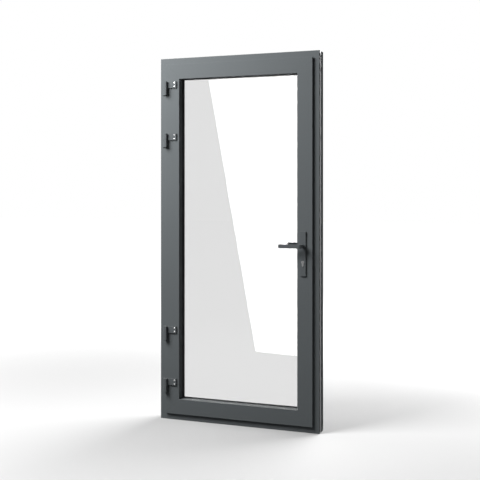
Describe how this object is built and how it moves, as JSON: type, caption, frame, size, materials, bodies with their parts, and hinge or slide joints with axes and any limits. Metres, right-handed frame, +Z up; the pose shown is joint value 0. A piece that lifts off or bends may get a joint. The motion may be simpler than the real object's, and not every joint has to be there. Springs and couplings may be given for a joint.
{
  "type": "swing door",
  "caption": "Single-leaf glazed swing door in its frame, dark grey aluminium profiles with a thermal break, surface hinges, levers on long narrow plates and a mortise lock.",
  "frame": {"origin": "under the middle of the frame's width, at the middle of the leaf's depth, on the underside of the sill", "axes": "+Z up, -Y towards the side that the leaf opens to, +X from the hinges towards the lock"},
  "size_m": [1, 0.196, 2.2],
  "materials": {
    "profile_coating": "anthracite grey powder coat, satin, fine texture",
    "hinge_coating": "anthracite grey powder coat, satin",
    "handle_coating": "dark grey powder coat, satin",
    "black_plastic": "matt",
    "black_rubber": "matt",
    "spacer_black": "matt",
    "glass": "clear float glass",
    "bare_aluminium": "mill finish",
    "screw_steel": "bright zinc",
    "lock_steel": "satin",
    "nickel_brass": "satin nickel plated"
  },
  "bodies": {
    "frame": {"frame_front_left": "profile_coating", "frame_front_right": "profile_coating", "frame_front_top": "profile_coating", "frame_front_bottom": "profile_coating", "frame_rear_left": "profile_coating", "frame_rear_right": "profile_coating", "frame_rear_top": "profile_coating", "frame_rear_bottom": "profile_coating", "frame_insulating_strips": "black_plastic", "frame_corner_cleats": "bare_aluminium", "frame_stop_seal": "black_rubber", "hinge_frame_part_1": "hinge_coating", "hinge_frame_part_2": "hinge_coating", "hinge_frame_part_3": "hinge_coating", "hinge_frame_part_4": "hinge_coating", "hinge_pins": "lock_steel", "frame_screws": "screw_steel", "strike_plate": "lock_steel"},
    "leaf": {"leaf_front_left": "profile_coating", "leaf_front_right": "profile_coating", "leaf_front_top": "profile_coating", "leaf_front_bottom": "profile_coating", "leaf_rear_left": "profile_coating", "leaf_rear_right": "profile_coating", "leaf_rear_top": "profile_coating", "leaf_rear_bottom": "profile_coating", "glazing_bead_left": "profile_coating", "glazing_bead_right": "profile_coating", "glazing_bead_top": "profile_coating", "glazing_bead_bottom": "profile_coating", "leaf_insulating_strips": "black_plastic", "leaf_corner_cleats": "bare_aluminium", "leaf_lip_seal": "black_rubber", "pane_front": "glass", "pane_rear": "glass", "pane_spacer": "spacer_black", "glazing_gasket_front": "black_rubber", "glazing_gasket_rear": "black_rubber", "glass_setting_blocks": "black_plastic", "hinge_leaf_part_1": "hinge_coating", "hinge_leaf_part_2": "hinge_coating", "hinge_leaf_part_3": "hinge_coating", "hinge_leaf_part_4": "hinge_coating", "hinge_leaf_screws": "screw_steel", "lock_case": "lock_steel", "lock_faceplate": "lock_steel", "lock_screws": "screw_steel", "lock_cylinder": "nickel_brass", "backplate_front": "handle_coating", "backplate_rear": "handle_coating", "backplate_screws": "screw_steel"},
    "handle": {"lever_front": "handle_coating", "lever_rear": "handle_coating", "spindle": "lock_steel", "lock_follower": "lock_steel"},
    "latch": {"latch_bolt": "lock_steel"},
    "deadbolt": {"deadbolt": "lock_steel"},
    "key_front": {"key_plug_front": "nickel_brass", "cylinder_cam": "nickel_brass"},
    "key_rear": {"key_plug_rear": "nickel_brass"}
  },
  "joints": [
    {"name": "leaf_swing", "type": "hinge", "parent": "frame", "child": "leaf", "pos_m": [-0.456, -0.058, 1.1], "axis": [0, 0, -1], "range_deg": [0, 170]},
    {"name": "handle_turn", "type": "hinge", "parent": "leaf", "child": "handle", "pos_m": [0.407, 0, 1.075], "axis": [0, -1, 0], "range_deg": [0, 40], "stiffness_Nm_per_rad": 1.6, "springref_deg": -28.65},
    {"name": "latch_slide", "type": "slide", "parent": "leaf", "child": "latch", "axis": [-1, 0, 0], "range_m": [0, 0.013]},
    {"name": "deadbolt_slide", "type": "slide", "parent": "leaf", "child": "deadbolt", "axis": [1, 0, 0], "range_m": [0, 0.02]},
    {"name": "key_front_turn", "type": "hinge", "parent": "leaf", "child": "key_front", "pos_m": [0.407, -0.05, 0.983], "axis": [0, 1, 0], "range_deg": [0, 360]},
    {"name": "key_rear_turn", "type": "hinge", "parent": "leaf", "child": "key_rear", "pos_m": [0.407, 0.05, 0.983], "axis": [0, 1, 0], "range_deg": [0, 360]}
  ],
  "couplings": [
    {"joint": "latch_slide", "follows": "handle_turn", "m_per_rad": 0.0186},
    {"joint": "key_front_turn", "follows": "deadbolt_slide", "rad_per_m": 314.15}
  ]
}
